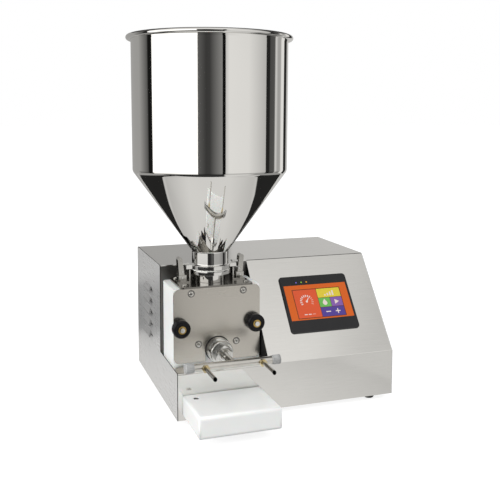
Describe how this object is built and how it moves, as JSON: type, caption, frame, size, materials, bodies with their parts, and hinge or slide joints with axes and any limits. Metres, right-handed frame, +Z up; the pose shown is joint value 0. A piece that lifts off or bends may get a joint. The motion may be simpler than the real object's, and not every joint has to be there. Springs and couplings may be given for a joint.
{
  "type": "cake filling machine",
  "caption": "Table-top cake filling machine: a tall steel hopper over a gear pump with a needle manifold, beside a sloping touch-panel casing.",
  "frame": {"origin": "middle of the footprint at the level that the feet stand on", "axes": "+Z up, the needles and the touch panel face -Y, the touch panel is on the +X side"},
  "size_m": [0.438, 0.419, 0.615],
  "materials": {
    "brushed_casing": "fine brushed stainless sheet",
    "polished_steel": "mirror polished stainless",
    "plate_steel": "satin stainless plate",
    "screw_steel": "bright stainless",
    "shaft_steel": "ground stainless",
    "gear_steel": "machined stainless",
    "white_plastic": "milled food-grade polyethylene",
    "white_seal": "silicone seal",
    "black_rubber": "matt black rubber",
    "black_plastic": "moulded black phenolic",
    "bezel_plastic": "moulded dark grey plastic",
    "screen_glass": "lit touch display",
    "brass": "turned brass",
    "cap_plastic": "grey knurled plastic",
    "motor_paint": "dark grey paint",
    "board_green": "green circuit board",
    "supply_metal": "perforated zinc plate"
  },
  "bodies": {
    "casing": {"base_pan": "brushed_casing", "rubber_feet": "black_rubber", "left_side_panel": "brushed_casing", "right_side_panel": "brushed_casing", "console_cover": "brushed_casing", "recess_wall": "brushed_casing", "back_panel": "brushed_casing", "panel_screws": "screw_steel", "touch_bezel": "bezel_plastic", "touch_screen": "screen_glass", "touch_housing": "bezel_plastic", "pump_block": "white_plastic", "pump_face_plate": "plate_steel", "face_plate_screws": "screw_steel", "idler_pin": "shaft_steel", "shaft_bush": "brass", "shaft_seal": "black_rubber", "gearbox": "motor_paint", "drive_motor": "motor_paint", "motor_bracket": "plate_steel", "knob_studs": "screw_steel", "top_plate": "plate_steel", "top_plate_screws": "screw_steel", "inlet_socket": "polished_steel", "hopper_seal": "white_seal", "hopper": "polished_steel", "latch_base_left": "polished_steel", "latch_base_right": "polished_steel", "latch_pivot_pins": "screw_steel", "outlet_union": "polished_steel", "rest_block": "white_plastic", "rest_block_screw": "screw_steel", "rest_bracket": "plate_steel", "power_inlet": "black_plastic", "control_board": "board_green", "power_supply": "supply_metal"},
    "drive_train": {"drive_gear": "gear_steel", "drive_shaft": "shaft_steel", "shaft_coupling": "shaft_steel"},
    "idler": {"idler_gear": "gear_steel"},
    "knob_left": {"knob_left": "black_plastic", "knob_insert_left": "brass"},
    "knob_right": {"knob_right": "black_plastic", "knob_insert_right": "brass"},
    "lever_left": {"latch_lever_left": "polished_steel"},
    "lever_right": {"latch_lever_right": "polished_steel"},
    "hook_left": {"latch_hook_left": "polished_steel"},
    "hook_right": {"latch_hook_right": "polished_steel"},
    "manifold": {"manifold": "polished_steel"},
    "outlet_nut": {"outlet_nut": "polished_steel"},
    "cap_left": {"manifold_cap_left": "cap_plastic"},
    "cap_right": {"manifold_cap_right": "cap_plastic"},
    "needle_left": {"needle_nut_left": "brass", "needle_left": "screw_steel"},
    "needle_right": {"needle_nut_right": "brass", "needle_right": "screw_steel"},
    "switch": {"power_switch": "black_plastic"}
  },
  "joints": [
    {"name": "pump_drive", "type": "hinge", "parent": "casing", "child": "drive_train", "pos_m": [-0.0625, -0.037, 0.155], "axis": [0, 1, 0], "continuous": true},
    {"name": "pump_idler", "type": "hinge", "parent": "casing", "child": "idler", "pos_m": [-0.1045, -0.037, 0.155], "axis": [0, 1, 0], "continuous": true},
    {"name": "knob_left_turn", "type": "hinge", "parent": "casing", "child": "knob_left", "pos_m": [-0.1463, -0.077, 0.148], "axis": [0, 1, 0], "continuous": true},
    {"name": "knob_right_turn", "type": "hinge", "parent": "casing", "child": "knob_right", "pos_m": [-0.0207, -0.077, 0.148], "axis": [0, 1, 0], "continuous": true},
    {"name": "lever_left_pivot", "type": "hinge", "parent": "casing", "child": "lever_left", "pos_m": [-0.1335, -0.027, 0.221], "axis": [0, -1, 0], "range_deg": [0, 85]},
    {"name": "lever_right_pivot", "type": "hinge", "parent": "casing", "child": "lever_right", "pos_m": [-0.0335, -0.027, 0.221], "axis": [0, 1, 0], "range_deg": [0, 85]},
    {"name": "hook_left_pivot", "type": "hinge", "parent": "lever_left", "child": "hook_left", "pos_m": [-0.1325, -0.027, 0.231], "axis": [0, -1, 0], "range_deg": [0, 30]},
    {"name": "hook_right_pivot", "type": "hinge", "parent": "lever_right", "child": "hook_right", "pos_m": [-0.0345, -0.027, 0.231], "axis": [0, 1, 0], "range_deg": [0, 30]},
    {"name": "manifold_swivel", "type": "hinge", "parent": "casing", "child": "manifold", "pos_m": [-0.0835, -0.087, 0.108], "axis": [0, 1, 0], "range_deg": [-25, 25]},
    {"name": "outlet_nut_turn", "type": "hinge", "parent": "manifold", "child": "outlet_nut", "pos_m": [-0.0835, -0.101, 0.108], "axis": [0, 1, 0], "continuous": true},
    {"name": "cap_left_turn", "type": "hinge", "parent": "manifold", "child": "cap_left", "pos_m": [-0.1535, -0.151, 0.108], "axis": [1, 0, 0], "continuous": true},
    {"name": "cap_right_turn", "type": "hinge", "parent": "manifold", "child": "cap_right", "pos_m": [-0.0135, -0.151, 0.108], "axis": [1, 0, 0], "continuous": true},
    {"name": "needle_left_turn", "type": "hinge", "parent": "manifold", "child": "needle_left", "pos_m": [-0.1292, -0.161, 0.108], "axis": [0, 1, 0], "continuous": true},
    {"name": "needle_right_turn", "type": "hinge", "parent": "manifold", "child": "needle_right", "pos_m": [-0.0378, -0.161, 0.108], "axis": [0, 1, 0], "continuous": true},
    {"name": "switch_rock", "type": "hinge", "parent": "casing", "child": "switch", "pos_m": [0.169, 0.206, 0.083], "axis": [1, 0, 0], "range_deg": [-16, 0]}
  ],
  "couplings": [
    {"joint": "pump_idler", "follows": "pump_drive", "ratio": -1}
  ]
}
